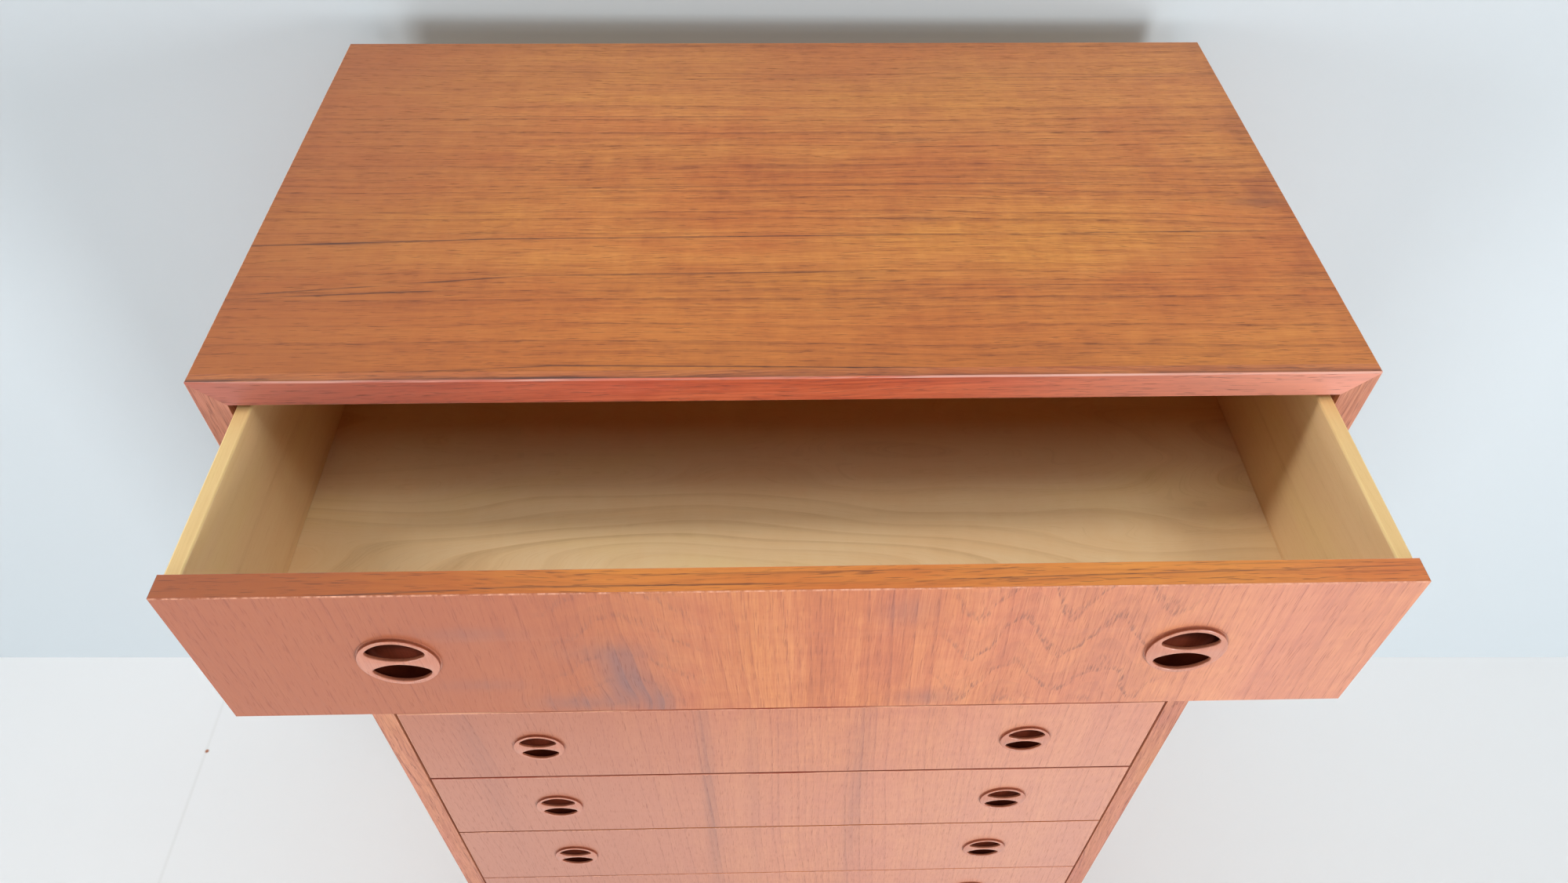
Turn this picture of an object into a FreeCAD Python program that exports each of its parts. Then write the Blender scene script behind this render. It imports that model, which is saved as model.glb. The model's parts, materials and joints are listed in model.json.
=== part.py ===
"""A tallboy: seven equal inset drawers in a mitred case on a low leg frame.

Millimetres. The case is drawn with X across, its front plane at y = 0, Y towards the
back and z = 0 on the floor. The finished pieces are then moved in Y, so that the frame's
origin is the middle of the footprint on the floor with the top drawer standing open.
"""
import FreeCAD
import Part
import math
import os

from FreeCAD import Vector

# Case
case_width = 750.0
case_depth = 421.0
case_board = 20.0
lipping_depth = 8.0
lipping_arris = 1.0
back_panel_thickness = 6.0
back_rebate_width = 10.0

# Drawers as a set
drawer_count = 7
drawer_pitch = 135.2
front_gap = 2.5
end_gap = 1.5
front_setback = 0.5
drawer_back_space = 23.0
top_drawer_open = 145.0

# Drawer front
front_thickness = 16.5
front_arris = 0.7

# Drawer box
side_thickness = 10.0
side_inset = 2.3
side_drop = 1.5
side_lift = 8.0
box_back_thickness = 10.0
box_back_drop = 6.0
box_back_inset = 8.0
box_back_housing = 3.0
drawer_bottom_thickness = 4.0
bottom_groove_lift = 8.5
bottom_groove_depth = 5.0

# Dovetail that joins a side to the front
tail_depth = 7.0
tail_neck = 5.6
tail_head = 8.0
tail_stop = 10.0

# Runners and the grooves that slide on them
runner_height = 12.0
runner_housing_depth = 2.5
runner_lead = 4.0
runner_back_margin = 14.0
runner_groove_web = 4.0
runner_groove_stop = 22.0

# Turned pulls
pull_radius = 24.7
pull_spacing = 468.0
pull_proud = 3.8
pull_rim_bevel = 1.8
pull_ring_width = 5.4
pull_floor = 2.0
pull_backing = 4.0
bar_waist = 5.6
bar_root = 17.2
bar_thickness = 5.0

# Leg frame
leg_height = 150.0
leg_inset = 36.0
leg_block = 38.0
leg_foot = 23.0
leg_block_below_rail = 6.0
rail_height = 45.0
rail_thickness = 20.0
rail_setback = 5.0
tenon_thickness = 8.0
tenon_shoulder = 7.0
tenon_spacing = 4.0
corner_block_height = 28.0
corner_block_reach = 48.0

# Clearances
glue_gap = 0.1
panel_play = 0.2
runner_play = 0.4

# How far a cutting shape passes the surface that it cuts, and how near counts as the same
overrun = 5.0
match_tolerance = 0.001

# Case, worked out
half_width = case_width / 2
opening_half_width = half_width - case_board
case_floor = leg_height + case_board
opening_top = case_floor + drawer_count * drawer_pitch
case_top = opening_top + case_board
back_panel_front = case_depth - back_panel_thickness

# Drawers, worked out
front_half_width = opening_half_width - end_gap
front_height = drawer_pitch - front_gap
front_rear = front_setback + front_thickness
box_rear = back_panel_front - drawer_back_space
side_outer = front_half_width - side_inset
side_inner = side_outer - side_thickness
side_middle = (side_inner + side_outer) / 2
side_height = front_height - side_drop - side_lift
back_rear = box_rear - box_back_inset
back_front = back_rear - box_back_thickness

# Runners, worked out
runner_groove_depth = side_thickness - runner_groove_web
runner_inner = side_outer - runner_groove_depth + runner_play
runner_groove_front = front_rear + runner_groove_stop

# Pulls, worked out
pull_mouth_radius = pull_radius - pull_ring_width
pull_recess_depth = front_thickness - pull_backing
bar_rear = bar_thickness - pull_proud
bar_half_chord = math.sqrt(pull_mouth_radius**2 - (bar_root / 2) ** 2)
bar_rise = (bar_root - bar_waist) / 2
bar_waist_radius = (bar_half_chord**2 + bar_rise**2) / (2 * bar_rise)

# Leg frame, worked out
leg_x = half_width - leg_inset - leg_block / 2
leg_y_front = leg_inset + leg_block / 2
leg_y_back = case_depth - leg_y_front
leg_block_low = leg_height - rail_height - leg_block_below_rail
rail_low = leg_height - rail_height
rail_offset = (leg_block - rail_thickness) / 2 - rail_setback
tenon_length = leg_block / 2 + rail_offset - tenon_thickness / 2 - tenon_spacing

# The move from the case's front plane to the middle of the footprint
most_forward = front_setback - pull_proud - top_drawer_open
frame_shift = Vector(0, -(most_forward + case_depth) / 2, 0)


# Shared helpers


def block(x_limits, y_limits, z_limits):
    """A rectangular block between three pairs of limits."""
    corner = Vector(x_limits[0], y_limits[0], z_limits[0])
    far = Vector(x_limits[1], y_limits[1], z_limits[1])
    size = far - corner
    return Part.makeBox(size.x, size.y, size.z, corner)


def about(middle, width):
    """The pair of limits that lie evenly about a middle."""
    return middle - width / 2, middle + width / 2


def prism(corners, direction):
    """A straight-sided outline, given by its corners, drawn out along a direction."""
    outline = Part.makePolygon(corners + [corners[0]])
    return Part.Face(outline).extrude(direction)


def turned(outline):
    """A piece turned about the Y axis from the (radius, y) corners of its half outline."""
    corners = [Vector(radius, y, 0) for radius, y in outline]
    half = Part.Face(Part.makePolygon(corners + [corners[0]]))
    return half.revolve(Vector(0, 0, 0), Vector(0, 1, 0), 360)


def disc_along_y(radius, y_low, y_high, x=0, z=0):
    """A round disc or bore whose axis runs along Y."""
    return Part.makeCylinder(radius, y_high - y_low, Vector(x, y_low, z), Vector(0, 1, 0))


def mirrored(shape):
    """The same piece on the other side of the case."""
    return shape.mirror(Vector(0, 0, 0), Vector(1, 0, 0))


def edges_where(shape, test):
    """The edges of a shape whose ends all pass a test."""
    return [edge for edge in shape.Edges if all(test(end.Point) for end in edge.Vertexes)]


def same(first, second):
    """Whether two lengths are the same, for picking out edges."""
    return abs(first - second) < match_tolerance


def write(name, solids):
    """Moves finished solids into the part's frame and writes them as one node."""
    shape = solids[0] if len(solids) == 1 else Part.makeCompound(solids)
    moved = shape.copy()
    moved.translate(frame_shift)
    moved.exportStep(os.path.join("parts", name + ".step"))


# Case


def level_section(y, outer_z, inner_z):
    """The mitred section of the top or bottom, across the case at one depth."""
    return [
        Vector(-half_width, y, outer_z),
        Vector(half_width, y, outer_z),
        Vector(opening_half_width, y, inner_z),
        Vector(-opening_half_width, y, inner_z),
    ]


def upright_section(y):
    """The mitred section of the right side, up the case at one depth."""
    return [
        Vector(half_width, y, leg_height),
        Vector(half_width, y, case_top),
        Vector(opening_half_width, y, opening_top),
        Vector(opening_half_width, y, case_floor),
    ]


def rebated_panel(section):
    """A case panel: its mitred section drawn out to the back, and rebated for the back."""
    reach = opening_half_width + back_rebate_width
    rebate = block(
        (-reach, reach),
        (back_panel_front, case_depth + overrun),
        (case_floor - back_rebate_width, opening_top + back_rebate_width),
    )
    return prism(section, Vector(0, case_depth - lipping_depth, 0)).cut(rebate)


def eased_lipping(section, is_outer):
    """A solid lipping in front of a panel, with its outer front edge eased."""
    strip = prism(section, Vector(0, lipping_depth, 0))
    return strip.makeChamfer(lipping_arris, edges_where(strip, is_outer))


def top_lipping():
    """The lipping along the front of the top."""
    section = level_section(0, case_top, opening_top)
    return eased_lipping(section, lambda end: same(end.y, 0) and same(end.z, case_top))


def bottom_lipping():
    """The lipping along the front of the bottom."""
    section = level_section(0, leg_height, case_floor)
    return eased_lipping(section, lambda end: same(end.y, 0) and same(end.z, leg_height))


def right_lipping():
    """The lipping up the front of the right side."""
    return eased_lipping(upright_section(0), lambda end: same(end.y, 0) and same(end.x, half_width))


def top_panel():
    """The top, behind its lipping."""
    return rebated_panel(level_section(lipping_depth, case_top, opening_top))


def bottom_panel():
    """The bottom, behind its lipping."""
    return rebated_panel(level_section(lipping_depth, leg_height, case_floor))


def right_panel():
    """The right side, behind its lipping, with a housing for each runner."""
    side = rebated_panel(upright_section(lipping_depth))
    for index in range(drawer_count):
        side = side.cut(runner(index, glue_gap))
    return side


def back_panel():
    """The plywood back, let into the rebate."""
    reach = opening_half_width + back_rebate_width - panel_play
    low = case_floor - back_rebate_width + panel_play
    high = opening_top + back_rebate_width - panel_play
    return block((-reach, reach), (back_panel_front, case_depth), (low, high))


# Runners


def front_low(index):
    """The lower edge of one drawer front. Drawer 0 is at the top."""
    return opening_top - (index + 1) * drawer_pitch + front_gap / 2


def runner_z(index):
    """The middle height of one drawer's runners."""
    return front_low(index) + side_lift + side_height / 2


def runner(index, ease=0):
    """A hardwood runner let into the right side, its nose bevelled to lead the drawer on.

    It is grown all round by ease where it cuts its own housing.
    """
    low, high = about(runner_z(index), runner_height + 2 * ease)
    inner = runner_inner - ease
    outer = opening_half_width + runner_housing_depth + ease
    nose = runner_groove_front + runner_play - ease
    end = back_panel_front - runner_back_margin + ease
    plan = [
        Vector(outer, nose, low),
        Vector(inner + runner_lead, nose, low),
        Vector(inner, nose + runner_lead, low),
        Vector(inner, end, low),
        Vector(outer, end, low),
    ]
    return prism(plan, Vector(0, 0, high - low))


# Drawers


def pull_centres(index):
    """The middles of one drawer's two pulls, on the face of the front."""
    z = front_low(index) + front_height / 2
    return [Vector(x, front_setback, z) for x in about(0, pull_spacing)]


def dovetail(middle_x, z_low, z_high, ease=0):
    """An upright dovetail that points forward from a front's rear face, grown by ease."""
    neck_low, neck_high = about(middle_x, tail_neck + 2 * ease)
    head_low, head_high = about(middle_x, tail_head + 2 * ease)
    head_y = front_rear - tail_depth - ease
    plan = [
        Vector(neck_low, front_rear, z_low),
        Vector(neck_high, front_rear, z_low),
        Vector(head_high, head_y, z_low),
        Vector(head_low, head_y, z_low),
    ]
    return prism(plan, Vector(0, 0, z_high - z_low))


def bottom_limits(index, play=0):
    """The underside and upper face of a drawer's bottom, or of its groove."""
    low = front_low(index) + side_lift + bottom_groove_lift
    return low - play, low + drawer_bottom_thickness + play


def bottom_groove(index):
    """The groove that holds the bottom, as one slab that the front and sides lose."""
    reach = side_inner + bottom_groove_depth
    y_limits = (front_rear - bottom_groove_depth, box_rear + overrun)
    return block((-reach, reach), y_limits, bottom_limits(index, panel_play))


def drawer_front(index):
    """A drawer front, bored for two pulls and cut for the sides and the bottom."""
    low = front_low(index)
    high = low + front_height
    front = block((-front_half_width, front_half_width), (front_setback, front_rear), (low, high))
    outline = edges_where(front, lambda end: same(end.y, front_setback))
    front = front.makeChamfer(front_arris, outline)
    floor_y = front_setback + pull_recess_depth
    for centre in pull_centres(index):
        bore = disc_along_y(pull_radius + glue_gap, -overrun, floor_y, centre.x, centre.z)
        front = front.cut(bore)
    socket_top = high - side_drop - tail_stop + glue_gap
    for middle_x in (-side_middle, side_middle):
        front = front.cut(dovetail(middle_x, low - overrun, socket_top, glue_gap))
    return front.cut(bottom_groove(index))


def drawer_side(index):
    """The right side of a drawer box: a tail in front, grooves outside and inside."""
    low = front_low(index) + side_lift
    high = low + side_height
    side = block((side_inner, side_outer), (front_rear, box_rear), (low, high))
    tail = dovetail(side_middle, low, high - tail_stop)
    runner_groove = block(
        (side_outer - runner_groove_depth, side_outer + overrun),
        (runner_groove_front, box_rear + overrun),
        about(runner_z(index), runner_height + 2 * runner_play),
    )
    back_housing = block(
        (side_inner - overrun, side_inner + box_back_housing + glue_gap),
        (back_front - glue_gap, back_rear + glue_gap),
        (bottom_limits(index)[1], high + overrun),
    )
    side = side.fuse(tail).removeSplitter()
    return side.cut(runner_groove).cut(bottom_groove(index)).cut(back_housing)


def drawer_back(index):
    """The back of a drawer box, housed in the sides and standing on the bottom."""
    reach = side_inner + box_back_housing
    high = front_low(index) + side_lift + side_height - box_back_drop
    return block((-reach, reach), (back_front, back_rear), (bottom_limits(index)[1], high))


def drawer_bottom(index):
    """The thin bottom of a drawer box, slid in from behind under the back."""
    reach = side_inner + bottom_groove_depth - panel_play
    front_edge = front_rear - bottom_groove_depth + panel_play
    return block((-reach, reach), (front_edge, back_rear), bottom_limits(index))


def pull_bar():
    """The bar across a pull's mouth, waisted by two large arcs, its ends in the ring."""
    reach = about(0, 2 * pull_mouth_radius + pull_ring_width)
    bar = block(reach, (-pull_proud, bar_rear), about(0, bar_root))
    for side in (-1, 1):
        waist_z = side * (bar_waist / 2 + bar_waist_radius)
        waist = disc_along_y(bar_waist_radius, -pull_proud - overrun, bar_rear + overrun, 0, waist_z)
        bar = bar.cut(waist.common(disc_along_y(pull_mouth_radius, -pull_proud, bar_rear)))
    return bar


def pull():
    """One pull about the middle of its face: a turned cup that stands proud, and its bar."""
    face = -pull_proud
    floor = pull_recess_depth - pull_floor
    cup = turned(
        [
            (0, pull_recess_depth),
            (pull_radius, pull_recess_depth),
            (pull_radius, face + pull_rim_bevel),
            (pull_radius - pull_rim_bevel, face),
            (pull_mouth_radius, face),
            (pull_mouth_radius, floor),
            (0, floor),
        ]
    )
    return cup.fuse(pull_bar()).removeSplitter()


def drawer_pulls(index, model):
    """Both pulls of one drawer, seated in their recesses."""
    pulls = [model.copy() for _ in pull_centres(index)]
    for copy, centre in zip(pulls, pull_centres(index)):
        copy.translate(centre)
    return pulls


def make_drawer(index, pull_model):
    """Writes the pieces of one drawer. The top one stands open, the others are closed."""
    right_side = drawer_side(index)
    pieces = {
        "front": [drawer_front(index)],
        "side_left": [mirrored(right_side)],
        "side_right": [right_side],
        "back": [drawer_back(index)],
        "bottom": [drawer_bottom(index)],
        "pulls": drawer_pulls(index, pull_model),
    }
    for piece, solids in pieces.items():
        for solid in solids:
            if index == 0:
                solid.translate(Vector(0, -top_drawer_open, 0))
        write(f"drawer_{index + 1}_{piece}", solids)


# Leg frame


def across_rail(leg_y, outward, ease=0):
    """The front or back rail, with its two tenons grown by ease."""
    middle = leg_y + outward * rail_offset
    shoulder = leg_x - leg_block / 2
    end = shoulder + tenon_length + ease
    tenon_z = (rail_low + tenon_shoulder - ease, leg_height - tenon_shoulder + ease)
    rail = block((-shoulder, shoulder), about(middle, rail_thickness), (rail_low, leg_height))
    tenons = block((-end, end), about(middle, tenon_thickness + 2 * ease), tenon_z)
    return rail.fuse(tenons).removeSplitter()


def right_rail(ease=0):
    """The rail of the right side, with its two tenons grown by ease."""
    middle = leg_x + rail_offset
    low = leg_y_front + leg_block / 2
    high = leg_y_back - leg_block / 2
    tenon_y = (low - tenon_length - ease, high + tenon_length + ease)
    tenon_z = (rail_low + tenon_shoulder - ease, leg_height - tenon_shoulder + ease)
    rail = block(about(middle, rail_thickness), (low, high), (rail_low, leg_height))
    tenons = block(about(middle, tenon_thickness + 2 * ease), tenon_y, tenon_z)
    return rail.fuse(tenons).removeSplitter()


def leg_outline():
    """A leg seen square on: (inward from its outer face, height), tapered on the inner face."""
    return [
        (0, 0),
        (0, leg_height),
        (leg_block, leg_height),
        (leg_block, leg_block_low),
        (leg_foot, 0),
    ]


def right_leg(leg_y, outward):
    """A right leg: a square block with two mortises, tapered below on its inner faces."""
    outer_x = leg_x + leg_block / 2
    outer_y = leg_y + outward * leg_block / 2
    from_front = [Vector(outer_x - inward, outer_y, z) for inward, z in leg_outline()]
    from_side = [Vector(outer_x, outer_y - outward * inward, z) for inward, z in leg_outline()]
    leg = prism(from_front, Vector(0, -outward * leg_block, 0))
    leg = leg.common(prism(from_side, Vector(-leg_block, 0, 0)))
    return leg.cut(across_rail(leg_y, outward, glue_gap)).cut(right_rail(glue_gap))


def right_corner_block(leg_y, outward):
    """A block glued inside the frame, round a leg, that takes the screws into the case."""
    z = leg_height - corner_block_height
    leg_inner_x = leg_x - leg_block / 2
    leg_inner_y = leg_y - outward * leg_block / 2
    rail_inner_x = leg_x + rail_offset - rail_thickness / 2
    rail_inner_y = leg_y + outward * (rail_offset - rail_thickness / 2)
    plan = [
        Vector(rail_inner_x, leg_inner_y, z),
        Vector(leg_inner_x, leg_inner_y, z),
        Vector(leg_inner_x, rail_inner_y, z),
        Vector(leg_inner_x - corner_block_reach, rail_inner_y, z),
        Vector(rail_inner_x, leg_inner_y - outward * corner_block_reach, z),
    ]
    return prism(plan, Vector(0, 0, corner_block_height))


# The whole part


def make_case():
    """Writes the panels, lippings and runners of the case."""
    side = right_panel()
    edge = right_lipping()
    runners = [runner(index) for index in range(drawer_count)]
    write("top_panel", [top_panel()])
    write("bottom_panel", [bottom_panel()])
    write("side_panel_right", [side])
    write("side_panel_left", [mirrored(side)])
    write("back_panel", [back_panel()])
    write("lipping_top", [top_lipping()])
    write("lipping_bottom", [bottom_lipping()])
    write("lipping_right", [edge])
    write("lipping_left", [mirrored(edge)])
    write("runners_right", runners)
    write("runners_left", [mirrored(piece) for piece in runners])


def make_base():
    """Writes the legs, rails and corner blocks."""
    corner_blocks = []
    for place, leg_y, outward in (("front", leg_y_front, -1), ("back", leg_y_back, 1)):
        leg = right_leg(leg_y, outward)
        corner_block = right_corner_block(leg_y, outward)
        corner_blocks += [corner_block, mirrored(corner_block)]
        write(f"leg_{place}_right", [leg])
        write(f"leg_{place}_left", [mirrored(leg)])
    rail = right_rail()
    write("base_rails_across", [across_rail(leg_y_front, -1), across_rail(leg_y_back, 1)])
    write("base_rails_along", [rail, mirrored(rail)])
    write("base_corner_blocks", corner_blocks)


def make_tallboy():
    """Writes every piece into the parts folder."""
    os.makedirs("parts", exist_ok=True)
    make_case()
    make_base()
    pull_model = pull()
    for index in range(drawer_count):
        make_drawer(index, pull_model)


make_tallboy()
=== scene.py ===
"""The looks of the tallboy: eased boards, turned pulls, veneers, room, light and camera.

Everything is in metres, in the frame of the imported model: +X to the right seen from the
front, +Y towards the back, +Z up, the origin on the floor. Colours are linear light.
"""
import json
import logging
import math
from dataclasses import dataclass, replace
from enum import Enum

import bmesh
import bpy
from mathutils import Matrix, Vector

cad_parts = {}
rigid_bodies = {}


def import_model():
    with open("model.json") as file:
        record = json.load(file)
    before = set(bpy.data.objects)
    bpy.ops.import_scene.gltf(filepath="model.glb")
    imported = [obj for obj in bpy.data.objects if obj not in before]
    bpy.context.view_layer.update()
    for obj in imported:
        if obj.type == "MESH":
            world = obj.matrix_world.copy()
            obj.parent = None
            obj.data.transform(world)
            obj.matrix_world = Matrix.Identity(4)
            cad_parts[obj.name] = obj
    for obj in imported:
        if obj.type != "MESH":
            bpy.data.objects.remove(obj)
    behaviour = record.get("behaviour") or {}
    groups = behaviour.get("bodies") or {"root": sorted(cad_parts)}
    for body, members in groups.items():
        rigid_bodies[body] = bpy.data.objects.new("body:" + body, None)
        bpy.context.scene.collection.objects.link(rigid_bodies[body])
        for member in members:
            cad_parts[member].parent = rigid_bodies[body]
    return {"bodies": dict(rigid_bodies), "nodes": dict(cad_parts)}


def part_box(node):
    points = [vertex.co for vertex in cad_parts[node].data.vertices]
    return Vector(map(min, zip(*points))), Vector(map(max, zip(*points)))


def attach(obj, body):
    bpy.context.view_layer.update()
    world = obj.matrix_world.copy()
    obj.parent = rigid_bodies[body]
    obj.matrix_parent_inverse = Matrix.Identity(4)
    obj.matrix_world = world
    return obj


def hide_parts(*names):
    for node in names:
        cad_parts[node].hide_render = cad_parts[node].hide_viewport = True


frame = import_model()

log = logging.getLogger("tallboy")

Colour = tuple[float, float, float]
Point = tuple[float, float, float]
Socket = bpy.types.NodeSocket
Material = bpy.types.Material
Mesh = bpy.types.Mesh
Piece = bpy.types.Object
Work = bmesh.types.BMesh

MILLIMETRE = 0.001
PHOTO_WIDTH = 2000
# Drawers whose front edges carry the gaps' shadow as painted shade.
SHADED_DRAWERS = (2, 3, 4, 5)
DRAWER_COUNT = len([name for name in frame["bodies"] if name.startswith("drawer")])


class Axis(Enum):
    """An axis of the frame, as an index into a vector."""

    X = 0
    Y = 1
    Z = 2


class EdgeTone(Enum):
    """How a drawer front's upper and lower edges look: plain, or dark with the gaps' painted
    shadow.
    """

    OPEN = "front_edge"
    SHADED = "gap_edge"


class Side(Enum):
    """One of the six sides of a box, as the unit vector that points out of it."""

    LEFT = (-1, 0, 0)
    RIGHT = (1, 0, 0)
    FRONT = (0, -1, 0)
    BACK = (0, 1, 0)
    BELOW = (0, 0, -1)
    ABOVE = (0, 0, 1)


class PullPart(Enum):
    """A part of a pull, as the number of its material."""

    PLATE = 0
    CUP = 1
    EDGE = 2


Edges = list[tuple[Side, Side]]
Box = tuple[Vector, Vector]
Outline = list[tuple[float, float]]
ENDS = [(end, side) for end in (Side.ABOVE, Side.BELOW) for side in (Side.LEFT, Side.RIGHT)]


def tint(red: int, green: int, blue: int) -> Colour:
    """Turns a screen colour, with parts from 0 to 255, into linear light."""
    shares = [value / 255 for value in (red, green, blue)]
    return tuple(s / 12.92 if s <= 0.04045 else ((s + 0.055) / 1.055) ** 2.4 for s in shares)


class Texture(Enum):
    """A noise: its cells per metre along each axis, its layers, and how strong they are."""

    DRIFT = ((1.7, 7.0, 7.0), 2.0, 0.5)
    BAND = ((0.9, 24.0, 24.0), 2.0, 0.5)
    STREAK = ((5.0, 260.0, 260.0), 3.0, 0.6)
    FIBRE = ((32.0, 900.0, 900.0), 2.0, 0.6)
    FLAKE = ((75.0, 1500.0, 1500.0), 1.0, 0.5)
    PATCH = ((4.0, 13.0, 13.0), 3.0, 0.6)
    MOTTLE = ((70.0, 34.0, 34.0), 3.0, 0.6)
    DASH = ((120.0, 900.0, 900.0), 2.0, 0.6)
    LOOSE = ((26.0, 34.0, 34.0), 2.0, 0.5)
    STAIN = ((1.4, 1.4, 1.0), 3.0, 0.5)
    BRUSH = ((90.0, 90.0, 14.0), 3.0, 0.6)


class Term:
    """A number that nodes work out, written in sums with the usual signs."""

    def __init__(self, graph: "Graph", socket: Socket) -> None:
        """Holds an output of one of the graph's nodes."""
        self.graph = graph
        self.socket = socket

    def __add__(self, other: "Term | float") -> "Term":
        """Adds a number."""
        return self.graph.math("ADD", self, other)

    def __sub__(self, other: "Term | float") -> "Term":
        """Takes a number away."""
        return self.graph.math("SUBTRACT", self, other)

    def __rsub__(self, other: float) -> "Term":
        """Takes this term away from a plain number."""
        return self.graph.math("SUBTRACT", other, self)

    def __mul__(self, other: "Term | float") -> "Term":
        """Multiplies by a number."""
        return self.graph.math("MULTIPLY", self, other)

    def __truediv__(self, other: "Term | float") -> "Term":
        """Divides by a number."""
        return self.graph.math("DIVIDE", self, other)


class Graph:
    """The node tree of one new material, with short calls for the nodes used here."""

    def __init__(self, name: str) -> None:
        """Starts an empty tree for a material of this name.

        Args:
            name: The material's name.
        """
        self.material = bpy.data.materials.new(name)
        self.material.use_nodes = True
        self.tree = self.material.node_tree
        self.tree.nodes.clear()

    def feed(self, target: Socket, value: object) -> None:
        """Gives a node's input its value.

        Args:
            target: The input.
            value: A plain value, a term or a node's output.
        """
        if isinstance(value, Term):
            value = value.socket
        if isinstance(value, Socket):
            self.tree.links.new(value, target)
        else:
            target.default_value = value

    def node(self, kind: str, inputs: dict | None = None, **settings: object) -> bpy.types.Node:
        """Adds a node.

        Args:
            kind: Blender's name of the node type, without "ShaderNode".
            inputs: Values, terms or outputs by input name or number.
            **settings: The node's own settings.

        Returns:
            The node.
        """
        made = self.tree.nodes.new("ShaderNode" + kind)
        for name, value in settings.items():
            setattr(made, name, value)
        for key, value in (inputs or {}).items():
            self.feed(made.inputs[key], value)
        return made

    def math(self, operation: str, first: Term | float, second: Term | float = 0.0) -> Term:
        """Adds a math node, by Blender's name of the operation, and gives its result."""
        made = self.node("Math", {0: first, 1: second}, operation=operation)
        return Term(self, made.outputs[0])

    def place(self) -> Socket:
        """Gives the place on the object, in metres."""
        return self.node("TexCoord").outputs["Object"]

    def split(self, vector: Socket) -> list[Term]:
        """Splits a vector into its three numbers."""
        return [Term(self, part) for part in self.node("SeparateXYZ", {0: vector}).outputs]

    def moved(self, place: Socket, by: object) -> Socket:
        """Moves a place by a vector."""
        return self.node("VectorMath", {0: place, 1: by}, operation="ADD").outputs[0]

    def noise(self, place: Socket, texture: Texture) -> Term:
        """Adds noise that may be finer along one axis than another.

        Args:
            place: The texture coordinates, in metres.
            texture: The noise.

        Returns:
            The noise, about 0.5 in the mean.
        """
        stretch, detail, rough = texture.value
        scaled = self.node("VectorMath", {0: place, 1: stretch}, operation="MULTIPLY").outputs[0]
        inputs = {"Vector": scaled, "Scale": 1.0, "Detail": detail, "Roughness": rough}
        return Term(self, self.node("TexNoise", inputs).outputs["Fac"])

    def ease(self, value: Term, low: float, high: float) -> Term:
        """Maps a value smoothly to 0 at low and 1 at high.

        Args:
            value: The value.
            low: Where the result is 0.
            high: Where the result is 1.

        Returns:
            The result.
        """
        inputs = {"Value": value, "From Min": low, "From Max": high}
        made = self.node("MapRange", inputs, interpolation_type="SMOOTHSTEP")
        return Term(self, made.outputs[0])

    def blend(
        self, share: Term, first: Socket | Colour, second: Socket | Colour, mode: str = "MIX"
    ) -> Socket:
        """Mixes two colours.

        Args:
            share: How much of the second is taken.
            first: A colour.
            second: Another colour.
            mode: Blender's name of the blend mode.

        Returns:
            The mixed colour.
        """
        made = self.node("Mix", data_type="RGBA", blend_type=mode)
        self.feed(made.inputs[0], share)
        for key, colour in ((6, first), (7, second)):
            self.feed(made.inputs[key], (*colour, 1) if isinstance(colour, tuple) else colour)
        return made.outputs[2]

    def surface(self, inputs: dict) -> Material:
        """Closes the tree with one main shader.

        Args:
            inputs: Values, terms or outputs for the shader, by input name.

        Returns:
            The finished material.
        """
        shader = self.node("BsdfPrincipled", inputs)
        self.node("OutputMaterial", {0: shader.outputs[0]})
        return self.material


@dataclass(frozen=True)
class Palette:
    """The colours of one wood, in linear light.

    Light, middle and dark run from early to late wood, vein is for dark lines and pores, and
    worn for rubbed arrises, with a painted highlight along them. Blush and ochre
    tint the redder and the yellower patches, and smoke is the colour of knots.
    """

    light: Colour
    middle: Colour
    dark: Colour
    vein: Colour
    blush: Colour
    worn: Colour
    ochre: Colour = (1.06, 1.16, 0.92)
    smoke: Colour = (0.20, 0.07, 0.035)

    def shaded(self, light: Colour, middle: Colour, dark: Colour, **rest: Colour) -> "Palette":
        """Gives the palette with other colours."""
        return replace(self, light=light, middle=middle, dark=dark, **rest)


@dataclass(frozen=True)
class Vein:
    """A thin dark line along the grain, in metres.

    It lies at a place across the grain, runs from start to end, drifts by its lean for each
    metre along, and has half its width and a strength from 0 to 1.
    """

    across: float
    start: float
    end: float
    lean: float = 0.0
    width: float = 0.0011
    strength: float = 0.5


@dataclass(frozen=True)
class Cloud:
    """A soft dark patch, a small knot or smoky heartwood, in metres.

    It has its middle along and across the grain, half its length and half its width, and a
    strength from 0 to 1. The grain bends round it by a share of the distance, its push.
    """

    along: float
    across: float
    length: float
    width: float
    strength: float
    push: float = 0.0


@dataclass(frozen=True)
class Flame:
    """A zone cut along the rings, whose edges show as rows of short dashes in waves, in metres.

    Across and width are the zone's middle and half width, crest is where a wave's crest lies
    across the grain, and first where a row's middle height lies along it. Pitch goes from row
    to row, period from crest to crest, and swing is half a wave's height. The rows end at end,
    and their strength goes from 0 to 1.
    """

    across: float
    width: float
    crest: float
    first: float
    pitch: float
    period: float
    swing: float
    end: float
    strength: float


@dataclass(frozen=True)
class Fade:
    """A slow change of colour across a board, or along its grain if it is lengthwise.

    It goes from nothing at start to its share of the colour at end, both in metres.
    """

    start: float
    end: float
    share: float
    colour: Colour
    lengthwise: bool = False


@dataclass(frozen=True)
class Figure:
    """How the growth rings lie in a face.

    Ring is the width of one, in metres, shade how much darker its late wood is, and edge how
    dark the line between two is. They drift by their lean for each metre along, and wander by
    so many metres.
    """

    ring: float = 0.007
    shade: float = 0.12
    edge: float = 0.10
    lean: float = 0.03
    wander: float = 0.012


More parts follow.
